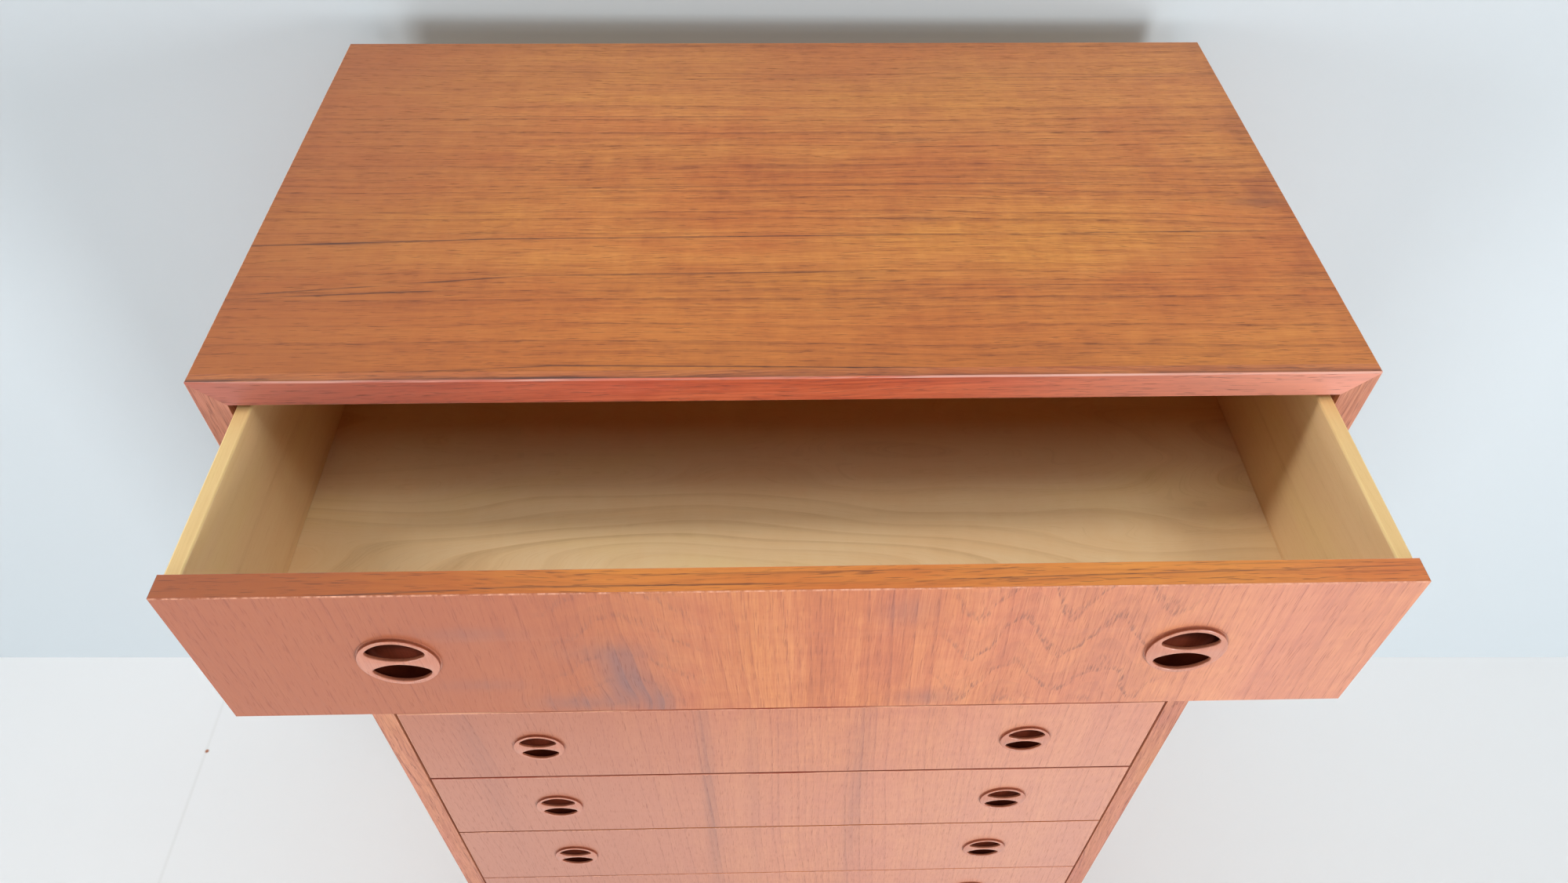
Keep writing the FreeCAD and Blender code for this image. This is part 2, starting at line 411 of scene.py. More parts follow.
# Where each feature of the grain sets in and where it is full, on its noise's scale.
LATE_WOOD = (0.1, 0.95)
RING_LINE_START = (0.62, 0.9)
RING_LINE_END = (1.0, 0.93)
VEIN_SHOWN = (0.30, 0.52)
DASH_SHOWN = (0.44, 0.66)
ROW_START = (0.40, 0.48)
ROW_END = (0.72, 0.50)
ROW_HAZE = (0.50, 0.95)
PATCH_REDDER = (0.46, 0.66)
PATCH_YELLOWER = (0.50, 0.32)
PORES_SHOWN = (0.60, 0.72)
# Rubbed arrises show wear with a painted highlight.
RUBBED_HIGHLIGHT = (0.34, 0.72)
JOINT_SHOWN = (0.3, 0.6)
# Lengths of the grain's features, in metres.
VEIN_FADE = 0.05
ZONE_FADE = 0.01
RIM_WIDTH = 0.035
RELIEF_DEPTH = 0.0004
# Shares that every wood has in common.
CLOUD_PUSH_WIDTH = 0.25
CLOUD_LATE = 0.5
CLOUD_EVEN = 0.7
CLOUD_MOST = 0.9
ROW_WANDER = 1.1
ROW_SHARE = 0.12
HAZE_SHARE = 0.16
ZONE_CORE = 0.6
MEAN_TONE = 0.42
MIDDLE_TONE = 0.45
FIBRE_HEIGHT = 0.3
FIBRE_ROUGH = 0.12
PORE_ROUGH = 0.2
COAT_ROUGH = 0.2


@dataclass(frozen=True)
class Wood:
    """A sawn or veneered wood: growth rings, streaks, veins, fibres and pores.

    The grain runs along one axis of the frame and across another, and the shift, in metres,
    gives each board its own figure. Band, streak, fibre and mottle say how strongly those
    tint it, patch, pores and relief how much these show, and gather how much closer the
    pores lie along the rings' edges. Gloss is its mirror light, 0.5 for plain wood, coat the
    clear finish on it, and rim the box (low x, low y, high x, high y) whose borders are
    darker by rim_shade.
    """

    name: str
    slot: str
    palette: Palette
    along: Axis
    across: Axis
    shift: float = 0.0
    figure: Figure = Figure()
    band: float = 0.5
    streak: float = 0.6
    fibre: float = 0.5
    patch: float = 0.7
    mottle: float = 0.25
    pores: float = 0.5
    gather: float = 0.10
    rough: float = 0.42
    gloss: float = 0.5
    coat: float = 0.0
    relief: float = 0.15
    rim: tuple[float, float, float, float] | None = None
    rim_shade: float = 0.15
    fades: tuple[Fade, ...] = ()
    veins: tuple[Vein, ...] = ()
    clouds: tuple[Cloud, ...] = ()
    flames: tuple[Flame, ...] = ()

    def build(self) -> Material:
        """Makes the material."""
        return Grain(self).drawn()


class Grain(Graph):
    """The nodes that draw one wood."""

    def __init__(self, wood: Wood) -> None:
        """Turns the object's coordinates so that their X runs along the grain.

        Args:
            wood: The wood to draw.
        """
        super().__init__(wood.name)
        self.wood = wood
        parts = self.split(self.place())
        axes = (wood.along.value, wood.across.value, 3 - wood.along.value - wood.across.value)
        turned = {index: parts[axis] for index, axis in enumerate(axes)}
        self.turned = self.node("CombineXYZ", turned).outputs[0]
        self.along, self.across, _ = self.split(self.turned)
        self.none = self.across * 0.0

    def clouds(self) -> tuple[Term, Term]:
        """Adds up what the clouds do.

        Returns:
            How far they push the grain aside, and how dark they make it.
        """
        push = shade = self.none
        for cloud in self.wood.clouds:
            off = self.across - cloud.across
            run = (self.along - cloud.along) / cloud.length
            reach = off / cloud.width
            spread = run * run + reach * reach
            shade = shade + self.math("EXPONENT", spread * -1.0) * cloud.strength
            if cloud.push:
                wide = self.math("EXPONENT", spread * -CLOUD_PUSH_WIDTH)
                push = push - wide * (off * cloud.push)
        return push, shade

    def veins(self, flicker: Term) -> Term:
        """Draws the veins.

        Args:
            flicker: The noise that breaks them up.

        Returns:
            How dark they make the wood.
        """
        total = self.none
        for vein in self.wood.veins:
            off = self.math("ABSOLUTE", self.across - self.along * vein.lean - vein.across)
            line = self.ease(off, vein.width, 0.0) * vein.strength
            line = line * self.ease(self.along, vein.start, vein.start + VEIN_FADE)
            total = total + line * self.ease(self.along, vein.end, vein.end - VEIN_FADE)
        return total * self.ease(flicker, *VEIN_SHOWN)

    def rings(self, slide: Term) -> tuple[Term, Term]:
        """Draws the growth rings.

        Args:
            slide: How far the grain is bent aside.

        Returns:
            Their late wood, and the lines between them.
        """
        figure = self.wood.figure
        count = (self.across + slide + self.along * figure.lean) / figure.ring
        ring = {"W": self.math("FLOOR", count)}
        chance = self.node("TexWhiteNoise", ring, noise_dimensions="1D")
        own = Term(self, chance.outputs["Value"])
        turn = self.math("FRACT", count)
        edge = self.ease(turn, *RING_LINE_START) * self.ease(turn, *RING_LINE_END)
        return self.ease(turn, *LATE_WOOD) * own, edge * own

    def flames(self) -> Term:
        """Draws the rows of dashes of the zones that are cut along the rings.

        Returns:
            How dark they make the wood.
        """
        dash = self.ease(self.noise(self.turned, Texture.DASH), *DASH_SHOWN)
        loose = self.noise(self.turned, Texture.LOOSE) - 0.5
        total = self.none
        for flame in self.wood.flames:
            swell = (self.across - flame.crest) * (2 * math.pi / flame.period)
            course = self.along - flame.first + self.math("COSINE", swell) * -flame.swing
            course = course + loose * (flame.pitch * ROW_WANDER)
            turn = self.math("FRACT", course / flame.pitch)
            row = self.ease(turn, *ROW_START) * self.ease(turn, *ROW_END)
            haze = self.ease(turn, *ROW_HAZE) * HAZE_SHARE + row * ROW_SHARE
            off = self.math("ABSOLUTE", (self.across - flame.across) / flame.width)
            near = self.ease(off, 1.0, ZONE_CORE)
            near = near * self.ease(self.along, flame.end, flame.end + ZONE_FADE)
            total = total + (row * dash + haze) * (near * flame.strength)
        return total

    def rim(self) -> Term:
        """Darkens the wood towards the borders of its face.

        Returns:
            How much darker it gets.
        """
        x, y, _ = self.split(self.place())
        low_x, low_y, high_x, high_y = self.wood.rim
        beside = self.math("MINIMUM", x - low_x, high_x - x)
        behind = self.math("MINIMUM", y - low_y, high_y - y)
        near = self.ease(self.math("MINIMUM", beside, behind), RIM_WIDTH, 0.0)
        return near * self.wood.rim_shade

    def ramp(self, tone: Term, patch: Term) -> Socket:
        """Turns a tone into the wood's colours, redder and yellower in patches.

        Args:
            tone: The tone, from 0 for pale to 1 for dark.
            patch: The noise that lays out the patches.

        Returns:
            The colour.
        """
        wood, palette = self.wood, self.wood.palette
        ramp = self.node("ValToRGB", {0: tone})
        stops = ramp.color_ramp.elements
        stops[0].position, stops[1].position = 0.0, 1.0
        stops[0].color, stops[1].color = (*palette.light, 1), (*palette.dark, 1)
        stops.new(MIDDLE_TONE).color = (*palette.middle, 1)
        colour = ramp.outputs[0]
        for span, shade in ((PATCH_REDDER, palette.blush), (PATCH_YELLOWER, palette.ochre)):
            share = self.ease(patch, *span) * wood.patch
            colour = self.blend(share, colour, shade, "MULTIPLY")
        for fade in wood.fades:
            course = self.along if fade.lengthwise else self.across
            share = self.ease(course, fade.start, fade.end) * fade.share
            colour = self.blend(share, colour, fade.colour)
        return colour

    def drawn(self) -> Material:
        """Draws the wood.

        Returns:
            The finished material.
        """
        wood, figure = self.wood, self.wood.figure
        moved = self.moved(self.turned, (wood.shift,) * 3)
        push, shade = self.clouds()
        slide = (self.noise(moved, Texture.DRIFT) - 0.5) * (4 * figure.wander) + push
        late, edge = self.rings(slide)
        flow = self.moved(moved, self.node("CombineXYZ", {1: slide}).outputs[0])
        streak, fibre = self.noise(flow, Texture.STREAK), self.noise(flow, Texture.FIBRE)

        tone = late * figure.shade + (MEAN_TONE - 0.5 * figure.shade)
        swings = (
            (self.noise(flow, Texture.BAND), wood.band),
            (streak, wood.streak),
            (fibre, wood.fibre),
            (self.noise(moved, Texture.MOTTLE), wood.mottle),
        )
        for source, share in swings:
            tone = tone + (source - 0.5) * share
        if wood.rim:
            tone = tone + self.rim()
        colour = self.ramp(tone, self.noise(moved, Texture.PATCH))
        if wood.clouds:
            cloudy = shade * (late * CLOUD_LATE + CLOUD_EVEN)
            cloudy = self.math("MINIMUM", cloudy, CLOUD_MOST)
            colour = self.blend(cloudy, colour, wood.palette.smoke)
        flake = self.noise(flow, Texture.FLAKE)
        pores = self.ease(flake + edge * wood.gather, *PORES_SHOWN)
        marks = pores * wood.pores + edge * figure.edge
        if wood.veins:
            marks = marks + self.veins(streak)
        if wood.flames:
            marks = marks + self.flames()
        colour = self.blend(self.math("MINIMUM", marks, 1.0), colour, wood.palette.vein)
        # Arris faces take worn in patches: rubbed wear with a painted highlight.
        arris = Term(self, self.node("Attribute", attribute_name="arris").outputs["Fac"])
        colour = self.blend(arris * self.ease(streak, *RUBBED_HIGHLIGHT), colour, wood.palette.worn)

        height = fibre * FIBRE_HEIGHT - pores
        felt = {"Height": height, "Strength": wood.relief, "Distance": RELIEF_DEPTH}
        rough = fibre * FIBRE_ROUGH + (wood.rough - FIBRE_ROUGH / 2) + pores * PORE_ROUGH
        return self.surface(
            {
                "Base Color": colour,
                "Roughness": rough,
                "Normal": self.node("Bump", felt).outputs[0],
                "Specular IOR Level": wood.gloss,
                "Coat Weight": wood.coat,
                "Coat Roughness": COAT_ROUGH,
            }
        )


@dataclass(frozen=True)
class Paint:
    """A painted wall or a smooth floor, with a faint unevenness, its grain and brush.

    A one-sided paint is clear when it is seen or lit from its back. Joints run from front to
    back, one at joint and the next at a pitch; a joint is full within its core, ends at soft
    and shows at most by its share. A speck lies at a place, with an edge and a core. All
    lengths are in metres.
    """

    name: str
    colour: Colour
    rough: float
    grain: float = 0.03
    one_sided: bool = False
    joint: float | None = None
    joint_pitch: float = 2.4
    joint_soft: float = 4.0 * MILLIMETRE
    joint_core: float = 0.5 * MILLIMETRE
    joint_share: float = 0.35
    joint_colour: Colour = tint(216, 217, 215)
    speck: tuple[float, float] | None = None
    speck_edge: float = 4.5 * MILLIMETRE
    speck_core: float = 1.0 * MILLIMETRE
    speck_colour: Colour = tint(160, 92, 50)
    brush: float = 0.05
    brush_depth: float = 1.0 * MILLIMETRE

    def _joint(self, graph: Graph, place: Socket, stain: Term) -> Term:
        """Draws the joints between the floor's sheets, fainter in places.

        Args:
            graph: The material's tree.
            place: The place on the floor.
            stain: The noise that fades them.

        Returns:
            How much of the joint's colour shows.
        """
        turns = (graph.split(place)[0] - self.joint) / self.joint_pitch
        off = graph.math("ABSOLUTE", turns - graph.math("ROUND", turns))
        line = graph.ease(off * self.joint_pitch, self.joint_soft, self.joint_core)
        return line * (graph.ease(stain, *JOINT_SHOWN) * self.joint_share)

    def build(self) -> Material:
        """Makes the material.

        Returns:
            The finished material.
        """
        graph = Graph(self.name)
        place = graph.place()
        stain = graph.noise(place, Texture.STAIN)
        darker = tuple(value * (1 - self.grain) for value in self.colour)
        colour = graph.blend(stain, self.colour, darker)
        if self.joint is not None:
            colour = graph.blend(self._joint(graph, place, stain), colour, self.joint_colour)
        if self.speck:
            middle = {0: place, 1: (*self.speck, 0)}
            away = graph.node("VectorMath", middle, operation="DISTANCE").outputs["Value"]
            shown = graph.ease(Term(graph, away), self.speck_edge, self.speck_core)
            colour = graph.blend(shown, colour, self.speck_colour)
        height = graph.noise(place, Texture.BRUSH)
        brushed = {"Height": height, "Strength": self.brush, "Distance": self.brush_depth}
        bump = graph.node("Bump", brushed)
        inputs = {"Base Color": colour, "Roughness": self.rough, "Normal": bump.outputs[0]}
        if self.one_sided:
            behind = Term(graph, graph.node("NewGeometry").outputs["Backfacing"])
            inputs["Alpha"] = 1.0 - behind
        return graph.surface(inputs)


TEAK_COLOURS = Palette(
    light=(0.67, 0.250, 0.050),
    middle=(0.52, 0.163, 0.031),
    dark=(0.25, 0.058, 0.016),
    vein=(0.11, 0.034, 0.018),
    blush=(0.90, 0.68, 0.66),
    worn=(0.80, 0.42, 0.27),
)
FRONT_COLOURS = replace(
    TEAK_COLOURS,
    light=(0.64, 0.245, 0.092),
    middle=(0.50, 0.155, 0.060),
    dark=(0.31, 0.082, 0.040),
    vein=(0.18, 0.066, 0.052),
    blush=(0.93, 0.84, 1.05),
    worn=(0.70, 0.34, 0.22),
    ochre=(1.03, 1.06, 0.88),
    smoke=(0.21, 0.105, 0.100),
)
LIPPING_COLOURS = TEAK_COLOURS.shaded(
    (0.66, 0.155, 0.066),
    (0.54, 0.108, 0.044),
    (0.31, 0.052, 0.026),
    worn=(0.74, 0.42, 0.34),
    blush=(0.95, 0.82, 1.10),
)
UPRIGHT_COLOURS = FRONT_COLOURS.shaded(
    (0.56, 0.230, 0.132), (0.46, 0.170, 0.096), (0.31, 0.098, 0.054)
)
EDGE_COLOURS = TEAK_COLOURS.shaded((0.78, 0.29, 0.046), (0.66, 0.205, 0.032), (0.36, 0.084, 0.016))
STRIP_COLOURS = TEAK_COLOURS.shaded(
    (0.60, 0.200, 0.048), (0.47, 0.136, 0.032), (0.24, 0.056, 0.018)
)
PULL_COLOURS = FRONT_COLOURS.shaded(
    (0.58, 0.220, 0.125), (0.47, 0.155, 0.084), (0.30, 0.084, 0.043)
)
# Painted shade: the pull plate's darker outer edge.
PULL_EDGE_SHADE_COLOURS = FRONT_COLOURS.shaded(
    (0.34, 0.085, 0.032), (0.27, 0.060, 0.022), (0.16, 0.032, 0.014)
)
# Painted shade: the pulls' hollows, near black.
CUP_SHADE_COLOURS = TEAK_COLOURS.shaded((0.11, 0.017, 0.005), (0.08, 0.011, 0.003), (0.035, 0.006, 0.002))
# Painted shadow for the gaps between drawer fronts.
GAP_SHADOW_COLOURS = TEAK_COLOURS.shaded((0.40, 0.060, 0.016), (0.30, 0.040, 0.012), (0.16, 0.022, 0.008))
BIRCH_COLOURS = Palette(
    light=(0.92, 0.70, 0.40),
    middle=(0.87, 0.62, 0.32),
    dark=(0.66, 0.41, 0.18),
    vein=(0.42, 0.23, 0.10),
    blush=(0.98, 0.90, 0.84),
    worn=(0.92, 0.68, 0.30),
    ochre=(1.0, 1.04, 0.88),
    smoke=(0.50, 0.30, 0.14),
)
SIDE_TOP_COLOURS = BIRCH_COLOURS.shaded((0.84, 0.60, 0.27), (0.78, 0.53, 0.22), (0.60, 0.36, 0.12))
BACK_COLOURS = BIRCH_COLOURS.shaded((0.62, 0.38, 0.17), (0.52, 0.30, 0.13), (0.32, 0.16, 0.07))
RUNNER_COLOURS = BIRCH_COLOURS.shaded((0.66, 0.42, 0.22), (0.58, 0.35, 0.17), (0.40, 0.22, 0.10))
TEAK = Wood("teak", "solid_teak", TEAK_COLOURS, Axis.X, Axis.Y)
BIRCH = Wood(
    "birch", "drawer_wood", BIRCH_COLOURS, Axis.Y, Axis.Z,
    figure=Figure(ring=0.016, shade=0.12, edge=0.05, lean=0.02, wander=0.015),
    band=0.4, streak=0.30, fibre=0.20, mottle=0.1, patch=0.5, pores=0.08, rough=0.6, relief=0.05,
)


def veins_from(border: float, *rows: tuple[float, ...]) -> tuple[Vein, ...]:
    """Lays out veins at distances from a border: each row is a vein's values in order."""
    return tuple(Vein(border + across, *values) for across, *values in rows)


class Finishes:
    """The woods and paints of the whole scene."""

    front_grain = {"along": Axis.Z, "across": Axis.X}
    level_grain = {"along": Axis.X, "across": Axis.Z}

    def __init__(self) -> None:
        """Works out every finish."""
        self._built: dict[str, Material] = {}
        self._case()
        self._fronts()
        self._lippings()
        self._pulls()
        self._base()
        self._boxes()
        self._room()

    def _case(self) -> None:
        """The veneers of the case; the top's marks are measured from its front edge."""
        (low_x, low_y, _), (high_x, high_y, _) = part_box("top_panel")
        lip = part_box("lipping_top")[0][1]
        case = replace(TEAK, slot="case_veneer")
        self.side = replace(case, name="side_veneer", shift=1.9, along=Axis.Z)
        self.floor_board = replace(case, name="bottom_veneer", shift=2.6)
        self.top = replace(
            case, name="top_veneer", shift=0.37,
            figure=Figure(ring=0.009, shade=0.16, edge=0.16, lean=0.01, wander=0.008),
            band=0.55, streak=0.65, fibre=1.0, patch=0.6, mottle=0.6, gloss=0.35,
            rim=(low_x, low_y, high_x, high_y), rim_shade=0.18,
            # Lighter towards the front edge, and darker and greyer towards the back, as painted
            # light and shade; darker towards the left.
            fades=(
                Fade(lip + 0.14, lip, 0.30, (0.64, 0.205, 0.038)),
                Fade(lip + 0.18, lip + 0.42, 0.28, (0.43, 0.180, 0.070)),
                Fade(-0.10, -0.37, 0.60, (0.36, 0.102, 0.028), lengthwise=True),
            ),
            veins=veins_from(
                lip,
                (0.1495, -0.42, -0.18, 0.036, 0.0013, 0.85),
                (0.1437, -0.24, 0.42, 0.008, 0.0012, 0.75),
                (0.1460, -0.35, -0.28, 0.027, 0.0020, 0.90),
                (0.1182, -0.38, -0.16, 0.096, 0.0012, 0.85),
                (0.1033, -0.23, 0.06, 0.013, 0.0010, 0.55),
                (0.0994, -0.42, -0.20, 0.055, 0.0012, 0.85),
                (0.0200, -0.29, -0.13, 0.050, 0.0010, 0.75),
                (0.0097, -0.19, 0.14, -0.022, 0.0010, 0.85),
                (0.0900, 0.05, 0.34, -0.01, 0.0012, 0.45),
                (0.2050, -0.20, 0.30, 0.01, 0.0014, 0.40),
                (0.3000, -0.33, 0.10, -0.01, 0.0014, 0.45),
                (0.3600, -0.10, 0.36, 0.005, 0.0014, 0.40),
            ),
            clouds=(
                Cloud(0.352, lip + 0.181, 0.020, 0.008, 0.50, 0.4),
                Cloud(0.336, lip + 0.235, 0.022, 0.008, 0.22, 0.3),
                Cloud(0.107, lip + 0.266, 0.018, 0.004, 0.28, 0.2),
                Cloud(0.102, lip + 0.164, 0.016, 0.005, 0.25, 0.2),
                Cloud(0.120, lip + 0.216, 0.014, 0.004, 0.15, 0.1),
                Cloud(0.047, lip + 0.099, 0.018, 0.005, 0.22, 0.1),
                Cloud(-0.304, lip + 0.1375, 0.022, 0.003, 0.40, 0.2),
            ),
        )

    def _fronts(self) -> None:
        """The drawer fronts' veneer, one sheet for all, and their edges of solid wood."""
        (_, arris, low), (_, _, high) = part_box("drawer_1_front")
        self.front = replace(
            TEAK, name="front_veneer", slot="front_veneer", palette=FRONT_COLOURS, shift=0.81,
            figure=Figure(ring=0.0068, shade=0.16, edge=0.08, lean=0.05, wander=0.008),
            band=0.7, streak=0.5, fibre=0.8, patch=0.65, mottle=0.6, pores=0.28, gather=0.12,
            coat=0.12, **self.front_grain,
            # Darker towards the left; paler and pinker towards the right and towards the lower
            # drawers, which is painted sheen.
            fades=(
                Fade(0.08, -0.24, 0.90, (0.345, 0.098, 0.044)),
                Fade(0.02, 0.30, 0.30, (0.66, 0.34, 0.27)),
                Fade(high - 0.12, 0.45, 0.45, (0.56, 0.300, 0.235), lengthwise=True),
            ),
            clouds=(
                Cloud(high - 0.072, -0.108, 0.016, 0.010, 0.45, 0.2),
                Cloud(high - 0.100, -0.103, 0.026, 0.014, 0.95, 0.2),
                Cloud(high - 0.124, -0.084, 0.020, 0.009, 0.70, 0.2),
                Cloud(high - 0.122, -0.135, 0.010, 0.026, 0.60, 0.2),
                Cloud(high - 0.062, -0.112, 0.010, 0.030, 0.30),
                Cloud(high - 0.040, -0.190, 0.007, 0.030, 0.35),
                Cloud(high - 0.098, -0.190, 0.007, 0.026, 0.30),
                Cloud(high - 0.022, 0.062, 0.016, 0.016, 0.35),
                Cloud(high - 0.122, 0.085, 0.010, 0.018, 0.45),
                Cloud(0.50, -0.076, 0.30, 0.007, 0.45),
                Cloud(0.50, 0.077, 0.28, 0.010, 0.30),
                Cloud(0.62, -0.295, 0.16, 0.014, 0.22),
                Cloud(0.50, -0.030, 0.30, 0.006, 0.18),
            ),
            flames=(
                Flame(0.158, 0.085, 0.131, high - 0.075, 0.044, 0.0565, 0.020, low, 0.62),
                Flame(-0.10, 0.055, -0.105, high - 0.060, 0.034, 0.11, 0.020, low, 0.35),
            ),
        )
        figure = Figure(ring=0.006, edge=0.12)
        edge = replace(TEAK, slot="front_veneer", figure=figure, palette=EDGE_COLOURS, streak=0.6)
        # The gaps' shadow, painted on the shaded drawers' front edges.
        self.gap_edge = replace(edge, name="gap_edge", palette=GAP_SHADOW_COLOURS)
        self.front_edge = replace(
            edge, name="front_edge", shift=3.3,
            fades=(Fade(-0.05, -0.34, 0.88, (0.34, 0.072, 0.012), lengthwise=True),),
            veins=veins_from(
                arris,
                (0.0105, -0.36, -0.13, 0.038, 0.0010, 0.85),
                (0.0048, -0.20, 0.05, 0.0, 0.0009, 0.75),
                (0.0045, -0.04, 0.38, 0.020, 0.0008, 0.60),
                (0.0125, -0.10, 0.30, 0.006, 0.0007, 0.45),
            ),
        )

    def _lippings(self) -> None:
        """The solid lippings, and the strip of them that shows beside the top's veneer."""
        lipping = replace(TEAK, palette=LIPPING_COLOURS, streak=1.4, fibre=1.5, relief=0.4)
        self.lipping_level = replace(
            lipping, name="lipping_level", shift=4.2, **self.level_grain,
            # Darker and purpler towards the left, paler and pinker towards the right; the purple
            # and pink tints are painted sheen.
            fades=(
                Fade(-0.06, -0.34, 0.70, (0.36, 0.130, 0.095), lengthwise=True),
                Fade(0.05, 0.32, 0.60, (0.74, 0.37, 0.29), lengthwise=True),
            ),
        )
        self.lipping_upright = replace(
            lipping, name="lipping_upright", palette=UPRIGHT_COLOURS, shift=5.3, **self.front_grain
        )
        self.lipping_strip = replace(
            lipping, name="lipping_strip", palette=STRIP_COLOURS, shift=4.4,
            veins=veins_from(
                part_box("lipping_top")[0][1],
                (0.0016, -0.42, -0.10, 0, 0.0028, 0.9),
                (0.0016, -0.2, 0.42, 0.001, 0.0018, 0.5),
            ),
        )

    def _pulls(self) -> None:
        """The pulls' solid wood: the plate, and its outer edge and cup, darker as painted shade."""
        self.pull = replace(
            TEAK, name="pull_teak", slot="pull_teak", palette=PULL_COLOURS, shift=7.7,
            figure=Figure(ring=0.004, shade=0.05, edge=0.05),
            band=0.2, patch=0.0, pores=0.2, rough=0.30, coat=0.8, **self.front_grain,
        )
        # The plate's outer edge and the cup are darker as painted shade.
        self.pull_edge = replace(self.pull, name="pull_edge", palette=PULL_EDGE_SHADE_COLOURS, coat=0.2)
        dull = {"gloss": 0.1, "coat": 0.0, "rough": 0.7}
        self.cup = replace(self.pull, name="pull_hollow", palette=CUP_SHADE_COLOURS, **dull)

    def _base(self) -> None:
        """The solid wood of the leg frame."""
        base = replace(TEAK, slot="base_teak")
        self.base = replace(base, name="base_teak", shift=8.8, **self.front_grain)
        self.base_rail = replace(base, name="rail_teak", shift=9.4, **self.level_grain)
        self.base_rail_along = replace(self.base_rail, name="rail_teak_along", along=Axis.Y)

    def _boxes(self) -> None:
        """The pale woods of the drawers' boxes, the back and the runners."""
        self.drawer_side = replace(BIRCH, name="drawer_side_birch", shift=0.6)
        self.side_top = replace(
            BIRCH, name="drawer_side_top", palette=SIDE_TOP_COLOURS, across=Axis.X, streak=0.6
        )
        self.drawer_back = replace(BIRCH, name="drawer_back_birch", shift=1.7, **self.level_grain)
        self.drawer_bottom = replace(
            BIRCH, name="drawer_bottom_ply", slot="drawer_plywood", along=Axis.X, across=Axis.Y,
            figure=Figure(ring=0.026, shade=0.26, edge=0.16, lean=0.05, wander=0.12), mottle=0.35,
        )
        self.back = replace(
            BIRCH, name="back_ply", slot="back_plywood", palette=BACK_COLOURS,
            figure=Figure(ring=0.03, shade=0.35, edge=0.12, lean=0.04, wander=0.09),
            pores=0.2, **self.front_grain,
        )
        self.runner = replace(
            BIRCH, name="runner_beech", slot="runner_hardwood", palette=RUNNER_COLOURS, pores=0.25
        )

    def _room(self) -> None:
        """The paints of wall and floor."""
        self.wall = Paint("wall_paint", (0.565, 0.63, 0.67), 0.7, one_sided=True)
        # The floor behind the wall is painted darker as shade, since the wall casts no shadow.
        self.floor_behind_in_shade = Paint("floor_paint_behind_in_shade", (0.52, 0.53, 0.54), 0.6)
        self.floor = Paint(
            "floor_paint", (0.85, 0.865, 0.87), 0.45, joint=-0.9025, speck=(-0.901, 0.1845)
        )

    def material(self, finish: Wood | Paint) -> Material:
        """Builds a finish once, and hands out the same material after that.

        Args:
            finish: The wood or paint.

        Returns:
            Its material.
        """
        if finish.name not in self._built:
            self._built[finish.name] = finish.build()
        return self._built[finish.name]


@dataclass(frozen=True)
class Easing:
    """Rounds the arrises of a board by planes that touch a small arc along each edge.

    The arc has a radius in metres and so many facets, and a corner within the snap of a plane
    counts as on it.
    """

    radius: float
    facets: int = 3
    snap: float = 1e-7

    def cut(self, work: Work, box: Box, edges: Edges) -> None:
        """Cuts the edges of a box from a mesh.

        Args:
            work: The mesh to cut.
            box: The box's lowest and highest corner.
            edges: The two sides that meet at each edge.
        """
        low, high = box
        for first, second in edges:
            outward = Vector(first.value), Vector(second.value)
            both = outward[0] + outward[1]
            corner = Vector([high[i] if both[i] > 0 else low[i] for i in range(3)])
            centre = corner - both * self.radius
            for step in range(1, self.facets + 1):
                angle = step / (self.facets + 1) * math.pi / 2
                normal = outward[0] * math.cos(angle) + outward[1] * math.sin(angle)
                self._slice(work, centre + normal * self.radius, normal)

    def _slice(self, work: Work, point: Vector, normal: Vector) -> None:
        """Takes away what lies beyond a plane and closes the cut.

        Args:
            work: The mesh to cut.
            point: A point of the plane.
            normal: The direction in which all is taken away.
        """
        plane = {"plane_co": point, "plane_no": normal, "clear_outer": True, "dist": self.snap}
        everything = work.verts[:] + work.edges[:] + work.faces[:]
        cut = bmesh.ops.bisect_plane(work, geom=everything, **plane)
        rim = [part for part in cut["geom_cut"] if isinstance(part, bmesh.types.BMEdge)]
        rim = [edge for edge in rim if edge.is_boundary]
        if rim:
            bmesh.ops.holes_fill(work, edges=rim)


Cuts = list[tuple[Easing, Box, Edges]]

# The least cosine between a side and a face that counts as part of it, for the flat face
# alone, and for the face with some or more of its rounded arris.
FLAT = 0.9
WITH_ARRIS = 0.6
WITH_MOST_OF_ARRIS = 0.5


def smooth_mesh(work: Work, name: str, crisp: float) -> Mesh:
    """Closes an edited mesh as a smooth one.

    Args:
        work: The edited mesh, which is freed.
        name: The new mesh's name.
        crisp: The angle from which an edge shows as sharp.

    Returns:
        The smooth mesh.
    """
    for face in work.faces:
        face.smooth = True
    mesh = bpy.data.meshes.new(name)
    work.to_mesh(mesh)
    work.free()
    mesh.set_sharp_from_angle(angle=crisp)
    return mesh


